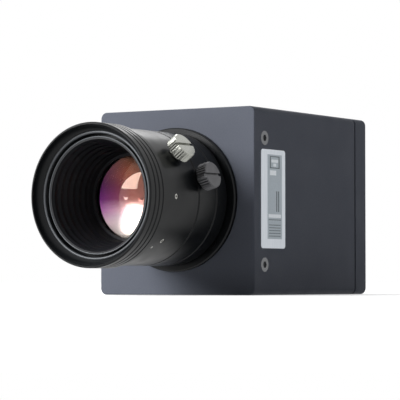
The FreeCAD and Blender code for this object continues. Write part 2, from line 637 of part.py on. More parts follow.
def iris_seat():
    """Ring with the blades' pivot pins."""
    shape = ring(BLADE_IN_R, CHAMBER_R - THREAD_GAP, WEB_TOP, IRIS_SEAT_TOP)
    for i in range(BLADES):
        foot = radial(blade_angle(i), PIVOT_CIRCLE_R, WEB_TOP)
        shape = shape.fuse(rod(PIVOT_R, foot, V(foot.x, foot.y, BLADES_TOP)))
    return shape.removeSplitter()


def iris_blade(i):
    """Thin curved leaf, fully open, with an eye on its pivot outside the leaves' ring."""
    s = BLADE_S + i * BLADE_LAYER
    start = blade_angle(i)
    half = (BLADE_OUT_R - BLADE_IN_R) / 2
    up = V(0, 0, BLADE_T)
    leaf = sector(BLADE_IN_R, BLADE_OUT_R, s, s + BLADE_T, start, BLADE_SPAN)
    for angle in (start, start + BLADE_SPAN):
        end = radial(angle, BLADE_MIDDLE_R, s)
        leaf = leaf.fuse(rod(half, end, end + up))
    arm = Part.makeBox(PIVOT_CIRCLE_R - BLADE_MIDDLE_R, 2 * EYE_R, BLADE_T, V(BLADE_MIDDLE_R, -EYE_R, s))
    arm.rotate(V(0, 0, 0), V(0, 0, 1), start)
    pivot = radial(start, PIVOT_CIRCLE_R, s)
    leaf = leaf.fuse(arm).fuse(rod(EYE_R, pivot, pivot + up))
    return leaf.cut(rod(PIVOT_R + PIVOT_GAP, pivot, pivot + up)).removeSplitter()


def link_pin():
    """Pin that links the iris ring to the blade driver, through the slot in the tube."""
    s = (ACTUATOR_S + ACTUATOR_TOP) / 2
    inner, outer = CHAMBER_R - CUT_SPARE, (RING_BORE_R + BARREL_R) / 2
    return rod(LINK_PIN_R, radial(LINK_PIN_ANGLE, inner, s), radial(LINK_PIN_ANGLE, outer, s))


def turning_ring(s0, s1, lock):
    """Outer ring that turns on the tube, tapped for its lock screw."""
    e = ROUND_EDGE
    shape = turned([(RING_BORE_R, s0), (BARREL_R - e, s0), (BARREL_R, s0 + e), (BARREL_R, s1 - e),
                    (BARREL_R - e, s1), (RING_BORE_R, s1)])
    angle, s = lock
    tapped = rod(LOCK_SHANK_R + THREAD_GAP, radial(angle, TUBE_R, s), radial(angle, BARREL_R + CUT_SPARE, s))
    return shape.cut(tapped)


def iris_ring():
    return turning_ring(BASE_TOP + RING_GAP, IRIS_TOP, IRIS_LOCK).cut(link_pin())


def focus_ring():
    shape = turning_ring(IRIS_TOP + RING_GAP, FOCUS_TOP, FOCUS_LOCK)
    for a in SET_SCREW_ANGLES:
        shape = shape.cut(rod(SET_SCREW_R, radial(a, RING_BORE_R - RING_GAP, SET_SCREW_S),
                              radial(a, BARREL_R + CUT_SPARE, SET_SCREW_S)))
    return shape


def set_screws():
    made = []
    for a in SET_SCREW_ANGLES:
        inner = radial(a, RING_BORE_R, SET_SCREW_S)
        outer = radial(a, BARREL_R - SET_SCREW_SINK, SET_SCREW_S)
        key = hexagon(SET_SCREW_R * KEY_SHARE, outer, outer + (inner - outer) * KEY_SHARE)
        made.append(on_lens(rod(SET_SCREW_R, inner, outer).cut(key)))
    return made


def lock_screw(lock):
    """Thumb screw with a serrated, slotted head, standing on its ring."""
    head_r0 = BARREL_R + LOCK_STANDOFF
    head_r1 = head_r0 + LOCK_HEAD_H
    points = []
    for i in range(2 * LOCK_TEETH):
        r = LOCK_HEAD_R - (LOCK_TOOTH if i % 2 else 0)
        a = math.pi * i / LOCK_TEETH
        points.append(V(r * math.cos(a), r * math.sin(a), head_r0))
    points.append(points[0])
    head = Part.Face(Part.makePolygon(points)).extrude(V(0, 0, LOCK_HEAD_H))
    bevel = Part.makeCone(LOCK_HEAD_R + LOCK_HEAD_H - ROUND_EDGE, LOCK_HEAD_R - ROUND_EDGE,
                          LOCK_HEAD_H, V(0, 0, head_r0))
    head = head.common(bevel)
    slot = Part.makeBox(3 * LOCK_HEAD_R, LOCK_SLOT_W, LOCK_SLOT_DEPTH,
                        V(-1.5 * LOCK_HEAD_R, -LOCK_SLOT_W / 2, head_r1 - LOCK_SLOT_DEPTH))
    head = head.cut(slot)
    neck = rod(LOCK_NECK_R, V(0, 0, BARREL_R + LOCK_TIP_GAP), V(0, 0, head_r0))
    shank = rod(LOCK_SHANK_R, V(0, 0, TUBE_R + LOCK_TIP_GAP), V(0, 0, BARREL_R + LOCK_TIP_GAP))
    shape = head.fuse(neck).fuse(shank).removeSplitter()
    angle, s = lock
    shape.rotate(V(0, 0, 0), V(0, 1, 0), 90)
    shape.translate(V(0, 0, s))
    shape.rotate(V(0, 0, 0), V(0, 0, 1), angle)
    return shape


# --- lens: front cell -------------------------------------------------------------------------
def front_barrel():
    """Moving cell: carries the front glasses, its cone is cut with fine light-trap steps."""
    back, front = (OPTIC_BORE_R, FRONT_RETAINER_TOP), (CELL_R - ROUND_EDGE, CELL_TOP)
    points = [(OPTIC_LIP_R, SKIRT_BACK), (SKIRT_R, SKIRT_BACK), (SKIRT_R, CELL_BACK), (CELL_R, CELL_BACK),
              (CELL_R, HOOD_LAND_BACK), (CELL_LIP_R, HOOD_LAND_BACK), (CELL_LIP_R, CELL_TOP), front]
    for i in range(BAFFLES - 1, -1, -1):
        share = i / BAFFLES
        r = back[0] + (front[0] - back[0]) * share
        s = back[1] + (front[1] - back[1]) * share
        step = (front[1] - back[1]) / BAFFLES
        points += [(r + BAFFLE_DEPTH, s + step - BAFFLE_W / 2), (r, s + step - BAFFLE_W), (r, s)]
    points = points[:-2] + [back, (OPTIC_BORE_R, SECOND_GLASS[0]), (OPTIC_LIP_R, SECOND_GLASS[0])]
    return turned(points)


def front_hood():
    """Flared front ring with grooves round its outside."""
    e = ROUND_EDGE
    bore = CELL_R + THREAD_GAP
    outside = [(bore, HOOD_BACK), (HOOD_R - e, HOOD_BACK), (HOOD_R, HOOD_BACK + e)]
    for s in HOOD_GROOVES:
        outside += [(HOOD_R, s), (HOOD_R - GROOVE_DEPTH, s + GROOVE_W / 2), (HOOD_R, s + GROOVE_W)]
    outside += [(HOOD_R, HOOD_TOP - e), (HOOD_R - e, HOOD_TOP), (HOOD_MOUTH_R, HOOD_TOP)]
    inside = [(HOOD_LAND_R + e, HOOD_LAND_TOP, -FLARE_SAG), (HOOD_LAND_R, HOOD_LAND_TOP),
              (HOOD_LAND_R, HOOD_LAND_BACK), (bore, HOOD_LAND_BACK)]
    return turned(outside + inside)


def front_retainer():
    return ring(FRONT_RETAINER_R, OPTIC_BORE_R, FRONT_GLASS[1], FRONT_RETAINER_TOP)


def build():
    os.makedirs("parts", exist_ok=True)
    left, right = socket_places()

    save("housing", housing())
    save("gasket", gasket())
    save("rear_cover", rear_cover())
    save("cover_screws", *cover_screws())
    save("light_pipes", *light_pipes())
    save("rating_label", label())
    save("mount_flange", mount_flange())
    save("mount_screws", *mount_screws())
    save("sensor_carrier", sensor_carrier())
    save("side_screws", *side_screws())
    save("filter_holder", filter_holder())
    save("filter_glass", filter_glass())
    save("sensor_package", sensor_package())
    save("sensor_die", sensor_die())
    save("sensor_cover_glass", sensor_cover_glass())
    save("sensor_board", board(SENSOR_BOARD_Y, post_places()))
    save("processor_board", board(PROCESSOR_BOARD_Y, post_places()))
    save("io_board", io_board())
    save("io_board_screws", *io_board_screws())
    save("board_posts", *posts(SENSOR_BOARD_Y + BOARD_T, PROCESSOR_BOARD_Y),
         *posts(PROCESSOR_BOARD_Y + BOARD_T, IO_BOARD_Y))
    save("processor_chip", slab(CHIP_SIDE, CHIP_SIDE, ROUND_EDGE, chip_y(), chip_y() + CHIP_T, z=AXIS_Z))
    save("thermal_pad", slab(CHIP_SIDE, CHIP_SIDE, ROUND_EDGE, chip_y() + CHIP_T,
                             chip_y() + CHIP_T + PAD_T, z=AXIS_Z))
    save("heat_spreader", heat_spreader())
    save("memory_chips", *memory_chips())
    save("board_links", board_link(SENSOR_BOARD_Y + BOARD_T, PROCESSOR_BOARD_Y),
         board_link(PROCESSOR_BOARD_Y + BOARD_T, IO_BOARD_Y))
    save("network_socket_shell", socket_shell(left))
    save("network_socket_insert", insert(left, NETWORK_CONTACTS, INSERT_FACE_BACK))
    save("network_contacts", *contacts(left, NETWORK_CONTACTS,
                                       socket_rim() - INSERT_FACE_BACK - CONTACT_RECESS))
    save("power_socket_shell", socket_shell(right))
    save("power_socket_insert", insert(right, POWER_CONTACTS, PLUG_FACE_BACK))
    save("power_contacts", *contacts(right, POWER_CONTACTS, socket_rim() - CONTACT_RECESS))
    save("socket_orings", *socket_orings())
    save("socket_nuts", *socket_nuts())

    save("lens_mount", on_lens(lens_mount()))
    save("rear_glass", on_lens(glass(REAR_BORE_R - THREAD_GAP, REAR_LIP_R, REAR_GLASS, *REAR_BULGES)))
    save("rear_retainer", on_lens(ring(REAR_LIP_R, REAR_BORE_R - THREAD_GAP, *REAR_RETAINER)))
    save("main_barrel", on_lens(main_barrel()))
    save("inner_glass", on_lens(glass(WEB_BORE_R - THREAD_GAP, WEB_LIP_R, (WEB_LIP_TOP, WEB_TOP),
                                      *INNER_BULGES)))
    save("iris_seat", on_lens(iris_seat()))
    for i in range(BLADES):
        save("iris_blade_%d" % (i + 1), on_lens(iris_blade(i)))
    driver = ring(BLADE_IN_R, CHAMBER_R - RING_GAP, ACTUATOR_S, ACTUATOR_TOP)
    save("iris_driver", on_lens(driver.cut(link_pin())))
    save("iris_link_pin", on_lens(link_pin()))
    save("iris_closer", on_lens(ring(BLADE_IN_R, CHAMBER_R - THREAD_GAP, CLOSER_S, CLOSER_S + CLOSER_T)))
    save("iris_ring", on_lens(iris_ring()))
    save("iris_lock_screw", on_lens(lock_screw(IRIS_LOCK)))
    save("focus_ring", on_lens(focus_ring()))
    save("focus_lock_screw", on_lens(lock_screw(FOCUS_LOCK)))
    save("set_screws", *set_screws())
    save("front_barrel", on_lens(front_barrel()))
    save("front_hood", on_lens(front_hood()))
    save("second_glass", on_lens(glass(OPTIC_BORE_R - THREAD_GAP, OPTIC_LIP_R, SECOND_GLASS, *SECOND_BULGES)))
    save("glass_spacer", on_lens(ring(OPTIC_LIP_R, OPTIC_BORE_R - THREAD_GAP, SECOND_GLASS[1],
                                      FRONT_GLASS[0])))
    save("front_glass", on_lens(glass(OPTIC_BORE_R - THREAD_GAP, FRONT_RETAINER_R, FRONT_GLASS,
                                      *FRONT_BULGES)))
    save("front_retainer", on_lens(front_retainer()))


build()
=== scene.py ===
# %% [markdown]
# # A machine vision camera with its lens
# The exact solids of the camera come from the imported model. This script dresses them. It gives
# each solid the finish of the real material, adds the printed and threaded detail that is too
# fine for the solids, and sets up a plain studio round the camera.
#
# Blender works in metres here, so a length of 3 mm is written 3 * MM.

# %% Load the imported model
import json
import math

import bpy
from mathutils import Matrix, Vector

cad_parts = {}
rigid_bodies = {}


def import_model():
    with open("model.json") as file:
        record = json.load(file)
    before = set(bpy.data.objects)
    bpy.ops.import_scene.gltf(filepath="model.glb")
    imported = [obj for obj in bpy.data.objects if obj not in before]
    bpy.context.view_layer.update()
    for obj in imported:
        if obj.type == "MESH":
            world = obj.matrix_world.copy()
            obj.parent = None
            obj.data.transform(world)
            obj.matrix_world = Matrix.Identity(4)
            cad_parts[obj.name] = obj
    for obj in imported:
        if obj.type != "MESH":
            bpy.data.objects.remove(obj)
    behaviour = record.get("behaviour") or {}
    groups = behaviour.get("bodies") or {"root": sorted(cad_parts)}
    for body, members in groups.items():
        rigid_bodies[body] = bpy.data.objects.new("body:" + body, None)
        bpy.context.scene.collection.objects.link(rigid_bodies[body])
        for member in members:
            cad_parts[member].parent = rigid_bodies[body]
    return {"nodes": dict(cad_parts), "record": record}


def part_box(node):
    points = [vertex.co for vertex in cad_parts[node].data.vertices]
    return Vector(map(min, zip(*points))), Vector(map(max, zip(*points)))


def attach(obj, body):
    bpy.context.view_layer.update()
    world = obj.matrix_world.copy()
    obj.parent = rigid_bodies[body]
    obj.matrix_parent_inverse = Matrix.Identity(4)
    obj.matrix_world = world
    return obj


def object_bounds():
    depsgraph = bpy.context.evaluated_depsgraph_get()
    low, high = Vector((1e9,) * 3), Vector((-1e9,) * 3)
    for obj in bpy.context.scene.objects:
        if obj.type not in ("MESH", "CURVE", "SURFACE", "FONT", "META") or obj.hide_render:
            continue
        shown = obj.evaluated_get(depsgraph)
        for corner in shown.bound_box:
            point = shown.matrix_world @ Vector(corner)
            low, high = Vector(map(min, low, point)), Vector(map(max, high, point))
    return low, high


for leftover in list(bpy.data.objects):
    bpy.data.objects.remove(leftover)
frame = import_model()
nodes = frame["nodes"]
cad_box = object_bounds()
MM = 0.001
print("solids:", len(nodes), " box in mm:", [[round(v / MM, 2) for v in p] for p in cad_box])

# %% [markdown]
# ## Where things are
# Two places carry everything: the front face of the body, and the lens axis. They could be typed
# in, but then they would go wrong as soon as the model changed, so both are read from the solids.
# Round the lens a place is given by its angle from +X towards +Z, its radius, and how far it
# stands in front of the body's front face.

# %% Places
FRONT_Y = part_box("housing")[0][1]
flange_low, flange_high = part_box("mount_flange")
AXIS_Z = (flange_low[2] + flange_high[2]) / 2


def lens_point(angle, radius, ahead):
    """The point at this angle, radius and distance in front of the body's front face."""
    turn = math.radians(angle)
    return Vector((radius * math.cos(turn), FRONT_Y - ahead, AXIS_Z + radius * math.sin(turn)))


def ahead_of_face(node):
    """How far a lens piece reaches in front of the front face: its back end and its front end."""
    low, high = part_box(node)
    return FRONT_Y - high[1], FRONT_Y - low[1]


def radius_of(node):
    low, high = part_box(node)
    return (high[2] - low[2]) / 2


print("front face at y =", round(FRONT_Y / MM, 2), "mm, lens axis at z =", round(AXIS_Z / MM, 2), "mm")

# %% [markdown]
# ## Colours and shader nodes
# Colours are written as people pick them, in sRGB hex, and turned to the linear values that a
# renderer adds up. A shader node can be set up by hand in several lines. One small helper does it
# in one: an input may be a plain value, or the output of another node, which is then linked.


# %% Helpers for materials
def colour(code):
    """An sRGB hex colour as linear red, green, blue and alpha."""
    channels = [int(code[i:i + 2], 16) / 255 for i in (1, 3, 5)]
    linear = [c / 12.92 if c <= 0.04045 else ((c + 0.055) / 1.055) ** 2.4 for c in channels]
    return (*linear, 1.0)


def link(material, output, socket):
    material.node_tree.links.new(output, socket)


def add_node(material, kind, inputs=None, **settings):
    """Add a shader node, set its options, and fill or link its inputs."""
    node = material.node_tree.nodes.new(kind)
    for name, value in settings.items():
        setattr(node, name, value)
    for name, value in (inputs or {}).items():
        if isinstance(value, bpy.types.NodeSocket):
            link(material, value, node.inputs[name])
        else:
            node.inputs[name].default_value = value
    return node


def new_material(name, **sockets):
    """A material with one Principled shader. Sockets are given with _ for a space."""
    material = bpy.data.materials.new(name)
    material.use_nodes = True
    material.node_tree.nodes.clear()
    values = {key.replace("_", " "): value for key, value in sockets.items()}
    shader = add_node(material, "ShaderNodeBsdfPrincipled", values)
    add_node(material, "ShaderNodeOutputMaterial", {"Surface": shader.outputs[0]})
    return material, shader


print("mid grey #808080 is", round(colour("#808080")[0], 3), "in linear light")

# %% [markdown]
# ## Patterns
# No real surface is quite even. A picture could carry the unevenness, but it would blur close up
# and need unwrapping, so noise is worked out in the object's own space instead. Three patterns
# come back on many finishes, and each has a function.
#
# * `grain` is the fine unevenness of a coat, a casting or a moulded skin: noise that moves the
#   surface up and down, and may shift its colour a little.
# * `turned_lines` are the rings that a lathe tool leaves. They run round the lens axis, so they
#   depend only on the place along it.
# * `smudges` let the roughness drift, as handling and cleaning do.

# %% Patterns
# A Mix node holds its number, vector and colour sockets side by side. These are the colour ones.
MIX_SHARE, MIX_FIRST, MIX_SECOND, MIX_RESULT = 0, 6, 7, 2


def object_place(material):
    return add_node(material, "ShaderNodeTexCoord").outputs["Object"]


def noise_pattern(material, width_mm, detail):
    """Noise whose spots are about this wide."""
    return add_node(material, "ShaderNodeTexNoise",
                    {"Vector": object_place(material), "Scale": 1 / (width_mm * MM), "Detail": detail})


def raise_surface(material, shader, pattern, depth_mm):
    bump = add_node(material, "ShaderNodeBump",
                    {"Height": pattern.outputs[0], "Distance": depth_mm * MM, "Strength": 1.0})
    link(material, bump.outputs["Normal"], shader.inputs["Normal"])


def tint(material, shader, pattern, low, high):
    """Let a pattern run the shader's colour between two hex colours."""
    mix = add_node(material, "ShaderNodeMix",
                   {MIX_SHARE: pattern.outputs[0], MIX_FIRST: colour(low), MIX_SECOND: colour(high)},
                   data_type="RGBA")
    link(material, mix.outputs[MIX_RESULT], shader.inputs["Base Color"])


def grain(material, shader, width_mm, depth_mm, low=None, high=None):
    noise = noise_pattern(material, width_mm, 3.0)
    raise_surface(material, shader, noise, depth_mm)
    if low:
        tint(material, shader, noise, low, high)


def turned_lines(material, shader, pitch_mm, depth_mm):
    along = add_node(material, "ShaderNodeSeparateXYZ", {0: object_place(material)})
    scaled = add_node(material, "ShaderNodeMath", {0: along.outputs["Y"], 1: 1 / (pitch_mm * MM)},
                      operation="MULTIPLY")
    noise = add_node(material, "ShaderNodeTexNoise", {"W": scaled.outputs[0], "Scale": 1.0},
                     noise_dimensions="1D")
    raise_surface(material, shader, noise, depth_mm)


def smudges(material, shader, width_mm, low, high):
    noise = noise_pattern(material, width_mm, 2.0)
    level = add_node(material, "ShaderNodeMapRange",
                     {"Value": noise.outputs[0], "From Min": 0.3, "From Max": 0.7,
                      "To Min": low, "To Max": high})
    link(material, level.outputs[0], shader.inputs["Roughness"])


print("patterns: grain, turned lines, smudges")

# %% [markdown]
# ## The body's paint
# The body is cast aluminium with a thin powder coat. The powder melts into a satin skin with a
# fine orange-peel grain, about 0.45 mm across. A flat colour would look like card, so the grain
# lifts the surface and shifts the colour. The coat is a blue-grey plastic over the metal, so the
# shader is not metallic.

# %% Powder coat
powder_coat, shader = new_material(
    "powder_coat_blue_grey", Metallic=0.0, Roughness=0.6, IOR=1.5, Specular_IOR_Level=0.1)
grain(powder_coat, shader, 0.45, 0.012, "#5a5e69", "#656973")
smudges(powder_coat, shader, 9.0, 0.55, 0.66)
print("made", powder_coat.name)

# %% [markdown]
# ## Black anodised aluminium
# The lens is turned from aluminium and dyed black in an anodising bath. Such a skin could be drawn
# as a black metal, but it is a dark oxide that hides the metal: it shines only where it mirrors a
# lamp, and pales edge-on. So the shader is a dark, glossy one that is not metallic. The lathe
# leaves rings about 0.1 mm apart. They are drawn 0.35 mm apart, or they would not show.
#
# Two kinds differ. Where two turned faces meet, a paler grey paints the highlight of the edge.
# Inside the lens the skin is matt, so that no stray light gets through.

# %% Anodised finishes
black_anodised, shader = new_material(
    "black_anodised_turned", Base_Color=colour("#111315"), Roughness=0.33, IOR=1.5,
    Specular_IOR_Level=0.2)
turned_lines(black_anodised, shader, 0.35, 0.004)
smudges(black_anodised, shader, 6.0, 0.28, 0.38)

# A paler grey for the edge beads: a painted highlight.
edge_highlight_paint, shader = new_material(
    "anodised_edge_painted_highlight", Base_Color=colour("#4c4f53"), Metallic=0.2, Roughness=0.42)
smudges(edge_highlight_paint, shader, 3.0, 0.36, 0.48)

matt_inside, shader = new_material(
    "black_anodised_matt_inside", Base_Color=colour("#15161a"), Metallic=0.0, Roughness=0.5,
    IOR=1.5, Specular_IOR_Level=0.3)
grain(matt_inside, shader, 0.3, 0.01)
print("made", black_anodised.name, edge_highlight_paint.name, matt_inside.name)

# %% [markdown]
# ## Bare and plated metals
# A metal has its colour in its reflection, so each of these is fully metallic, with its own
# colour, and a roughness for how it was finished: machined, black oxide, blasted, nickel plated or
# gold plated. A clean metal would mirror the room like chrome, so a grain or smudges break it up.

# %% Metals
stainless, shader = new_material(
    "stainless_steel_machined", Base_Color=colour("#b7b6b1"), Metallic=1.0, Roughness=0.3)
grain(stainless, shader, 0.25, 0.003)

black_oxide, shader = new_material(
    "black_oxide_steel", Base_Color=colour("#2b2b2d"), Metallic=1.0, Roughness=0.42)
grain(black_oxide, shader, 0.25, 0.004)

bare_aluminium, shader = new_material(
    "machined_aluminium", Base_Color=colour("#c6c8ca"), Metallic=1.0, Roughness=0.38)
grain(bare_aluminium, shader, 0.3, 0.004)

nickel_plate, shader = new_material(
    "nickel_plated_brass", Base_Color=colour("#bdb7a9"), Metallic=1.0, Roughness=0.24)
smudges(nickel_plate, shader, 4.0, 0.18, 0.32)

gold_plate, shader = new_material(
    "gold_plated_contact", Base_Color=colour("#dcae5a"), Metallic=1.0, Roughness=0.22)
grain(gold_plate, shader, 0.2, 0.001)

blasted_screw, shader = new_material(
    "blasted_stainless_screw", Base_Color=colour("#77787a"), Metallic=1.0, Roughness=0.5)
grain(blasted_screw, shader, 0.2, 0.006)

bright_screw, shader = new_material(
    "bright_nickel_screw", Base_Color=colour("#a9aaa3"), Metallic=1.0, Roughness=0.27)
smudges(bright_screw, shader, 2.0, 0.2, 0.34)

dark_screw, shader = new_material(
    "dark_nickel_screw", Base_Color=colour("#58585a"), Metallic=1.0, Roughness=0.34)
smudges(dark_screw, shader, 2.0, 0.28, 0.4)
print("metals ready, the last is", dark_screw.name)

# %% [markdown]
# ## Plastics, rubber, boards and ceramic
# Most of these sit inside the body, and show only through the lens or the sockets. They could all
# be one grey, but a reader who opens the body should see what each piece is, so each has its own
# colour, grain and gloss.

# %% Plastics and the rest
moulded_black, shader = new_material(
    "moulded_black_nylon", Base_Color=colour("#1b1b1c"), Roughness=0.48, IOR=1.53)
grain(moulded_black, shader, 0.3, 0.008)

rubber, shader = new_material(
    "moulded_black_rubber", Base_Color=colour("#181818"), Roughness=0.75, IOR=1.52,
    Specular_IOR_Level=0.35)
grain(rubber, shader, 0.35, 0.01)

light_guide, shader = new_material(
    "frosted_clear_acrylic", Base_Color=colour("#dfeee6"), Roughness=0.25, IOR=1.49,
    Transmission_Weight=0.4)
smudges(light_guide, shader, 1.0, 0.2, 0.32)

solder_mask, shader = new_material("green_solder_mask", Roughness=0.32, IOR=1.55)
grain(solder_mask, shader, 1.2, 0.01, "#0f4a2b", "#15603a")

soft_pad, shader = new_material(
    "silicone_thermal_pad", Base_Color=colour("#8fa3ab"), Roughness=0.7, IOR=1.41)
grain(soft_pad, shader, 0.5, 0.02)

alumina, shader = new_material(
    "fired_alumina", Base_Color=colour("#d9d5ca"), Roughness=0.5, IOR=1.76)
grain(alumina, shader, 0.15, 0.004)

silicon, shader = new_material(
    "polished_silicon", Base_Color=colour("#4a5068"), Metallic=1.0, Roughness=0.08)
smudges(silicon, shader, 2.0, 0.05, 0.12)
print("plastics, boards and ceramic ready, the last is", silicon.name)

# %% [markdown]
# ## The rating label
# The label is brushed silver foil. Foil mirrors the pale room in a soft way, so it looks nearly
# white beside the paint. The brushing runs up the label. Scratches could be modelled one by one,
# but noise that is squeezed sideways and stretched along Z gives the same streaks.

# %% Label foil
label_foil, shader = new_material("brushed_silver_foil", Metallic=0.6, Roughness=0.4)
# One streak is about a third of a millimetre wide and seven millimetres long.
stretched = add_node(label_foil, "ShaderNodeMapping",
                     {"Vector": object_place(label_foil), "Scale": (3000.0, 3000.0, 150.0)})
brushing = add_node(label_foil, "ShaderNodeTexNoise", {"Vector": stretched.outputs[0], "Scale": 1.0})
tint(label_foil, shader, brushing, "#d3dae2", "#eef3f9")
raise_surface(label_foil, shader, brushing, 0.002)
print("made", label_foil.name)

# %% [markdown]
# ## The front glass and the inner glasses
# Each glass has a thin coating that swallows most reflections and colours the rest. Real coatings
# work by interference, which a plain shader does not have, so clear glass gets a warm tint on its
# reflections. Light passes through, and a trace of roughness stands for dust.

# %% Clear glass
clear_glass, shader = new_material(
    "coated_front_glass", Base_Color=colour("#fff8f6"), Roughness=0.03, IOR=1.5,
    Transmission_Weight=1.0, Specular_Tint=colour("#ffe0cc"))
smudges(clear_glass, shader, 3.0, 0.02, 0.04)

rear_coating, shader = new_material(
    "coated_inner_glass", Base_Color=colour("#cfe0d8"), Roughness=0.02, IOR=1.6,
    Transmission_Weight=1.0)
smudges(rear_coating, shader, 3.0, 0.0, 0.03)

filter_blue, shader = new_material(
    "infrared_cut_glass", Base_Color=colour("#cfeeea"), Roughness=0.02, IOR=1.52,
    Transmission_Weight=0.9)
smudges(filter_blue, shader, 3.0, 0.0, 0.03)
print("made", clear_glass.name, rear_coating.name, filter_blue.name)

# %% [markdown]
# ## Painted reflection on the second glass
# Behind the front glass, the coated face of the second glass is drawn as a mirror whose colours
# are painted reflection: violet at one side, then red and brown above, and a nearly white painted
# highlight below. Nothing behind that glass would be seen. Two colour ramps run up the glass, one
# for its edge and one for its middle, and a third ramp across it blends them.

# %% Coating with painted reflection
reflection_painted_coating, shader = new_material("painted_reflection_coating", Metallic=1.0, Roughness=0.22)
GLASS_R = radius_of("second_glass")


def colour_ramp(material, share, stops):
    """A colour ramp filled from pairs of place and hex colour."""
    ramp = add_node(material, "ShaderNodeValToRGB", {"Fac": share})
    elements = ramp.color_ramp.elements
    while len(elements) < len(stops):
        elements.new(0.5)
    for element, (at, code) in zip(elements, stops):
        element.position = at
        element.color = colour(code)
    return ramp.outputs["Color"]


split = add_node(reflection_painted_coating, "ShaderNodeSeparateXYZ", {0: object_place(reflection_painted_coating)})
across = add_node(reflection_painted_coating, "ShaderNodeMapRange",
                  {"Value": split.outputs["X"], "From Min": -GLASS_R, "From Max": GLASS_R})
upward = add_node(reflection_painted_coating, "ShaderNodeMapRange",
                  {"Value": split.outputs["Z"], "From Min": AXIS_Z - GLASS_R,
                   "From Max": AXIS_Z + GLASS_R})
# The ramps' colours are painted reflection. The nearly white stops at the bottom of the middle ramp are a
# painted highlight.
middle_reflection_paint = colour_ramp(reflection_painted_coating, upward.outputs[0], [
    (0.0, "#fdfaf0"), (0.3, "#f8f6f0"), (0.38, "#fbdcd2"), (0.49, "#a4625a"),
    (0.6, "#8c4a42"), (0.73, "#9a5a44"), (0.86, "#7c4c3a"), (1.0, "#6e5a4a")])
edge_reflection_paint = colour_ramp(reflection_painted_coating, upward.outputs[0], [
    (0.1, "#6a5460"), (0.24, "#d5b5c7"), (0.37, "#b070b4"), (0.49, "#6c2c78"),
    (0.65, "#482250"), (0.9, "#503a4c")])
from_edge = colour_ramp(reflection_painted_coating, across.outputs[0], [
    (0.0, "#000000"), (0.05, "#141414"), (0.2, "#a0a0a0"), (0.38, "#ffffff")])
blend = add_node(reflection_painted_coating, "ShaderNodeMix",
                 {MIX_SHARE: from_edge, MIX_FIRST: edge_reflection_paint, MIX_SECOND: middle_reflection_paint},
                 data_type="RGBA")
link(reflection_painted_coating, blend.outputs[MIX_RESULT], shader.inputs["Base Color"])
print("second glass radius in mm:", round(GLASS_R / MM, 2))

# %% [markdown]
# ## Finish on each solid
# The record names a material slot for each solid, so one table dresses nearly all of them. A few
# solids differ from their slot: the side screws are duller than the cover's, the front cell's
# inside, its clamp ring and its spacer are matt, the front glass has the clear coating above, and
# the second glass has the painted reflection above.

# %% Dress the solids
FINISHES = {
    "grey_painted_aluminium": powder_coat, "black_rubber": rubber, "stainless_steel": stainless,
    "black_steel": black_oxide, "clear_plastic": light_guide, "silver_label": label_foil,
    "black_anodised_aluminium": black_anodised, "bare_aluminium": bare_aluminium,
    "black_plastic": moulded_black, "filter_glass": filter_blue, "alumina_ceramic": alumina,
    "silicon": silicon, "circuit_board": solder_mask, "nickel_brass": nickel_plate,
    "thermal_pad": soft_pad, "gold_contacts": gold_plate, "coated_glass": rear_coating,
    "dark_plated_steel": dark_screw, "bright_plated_steel": bright_screw,
}
OWN_FINISH = {
    "side_screws": blasted_screw, "front_glass": clear_glass, "second_glass": reflection_painted_coating,
    "front_barrel": matt_inside, "front_retainer": matt_inside, "glass_spacer": matt_inside,
}
for part in frame["record"]["subparts"]:
    finish = OWN_FINISH.get(part["node"], FINISHES[part["material_slot"]])
    for material_slot in nodes[part["node"]].material_slots:
        material_slot.material = finish

# %% [markdown]
# ## Making extra pieces
# Fine detail could be made with Blender's own tools, but lists of points and faces say exactly
# where each edge is. One function turns such lists into a piece, and tells the frame which body
# carries it and which material slot it belongs to.


# %% Mesh helper
def piece(name, points, faces, material, body, smooth=False):
    mesh = bpy.data.meshes.new(name)
    mesh.from_pydata([tuple(p) for p in points], [], faces)
    mesh.materials.append(material)
    mesh.validate()
    mesh.update()
    for polygon in mesh.polygons:
        polygon.use_smooth = smooth
    made = bpy.data.objects.new(name, mesh)
    bpy.context.scene.collection.objects.link(made)
    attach(made, body)
    return made


# %% [markdown]
# ## Painted highlights on the rims in the hood
# Two thin pale lines ring the mouth of the hood, where two turned faces meet. Their pale grey is a
# painted highlight. A line painted on the surface would vanish at some angles, so each is a bead:
# a small circle swept round the lens axis, half sunk in the edge, so that some part of it always
# faces the light and also catches real highlights.

# %% Beads round the lens axis
RING_STEPS, BEAD_SIDES = 128, 12


def swept_ring(name, section, material, body):
    """Sweep a closed section of (radius, distance ahead) points round the lens axis."""
    points = [lens_point(360 * i / RING_STEPS, r, s) for i in range(RING_STEPS) for r, s in section]
    count = len(section)
    faces = []
    for i in range(RING_STEPS):
        here, after = i * count, (i + 1) % RING_STEPS * count
        for j in range(count):
            k = (j + 1) % count
            faces.append((here + j, here + k, after + k, after + j))
    return piece(name, points, faces, material, body, smooth=True)


def bead(name, radius, ahead, thick, body):
    turns = [2 * math.pi * k / BEAD_SIDES for k in range(BEAD_SIDES)]
    section = [(radius + thick / 2 * math.cos(a), ahead + thick / 2 * math.sin(a)) for a in turns]
    return swept_ring(name, section, edge_highlight_paint, body)


HOOD_R = radius_of("front_hood")
hood_back, hood_front = ahead_of_face("front_hood")
cell_front = ahead_of_face("front_barrel")[1]
RIM_W, RIM_DEPTH = 2.75 * MM, 3.4 * MM
LAND_R, LAND_FRONT = HOOD_R - RIM_W, hood_front - RIM_DEPTH
LIP_IN, LIP_SINK = 1.42 * MM, 0.03 * MM
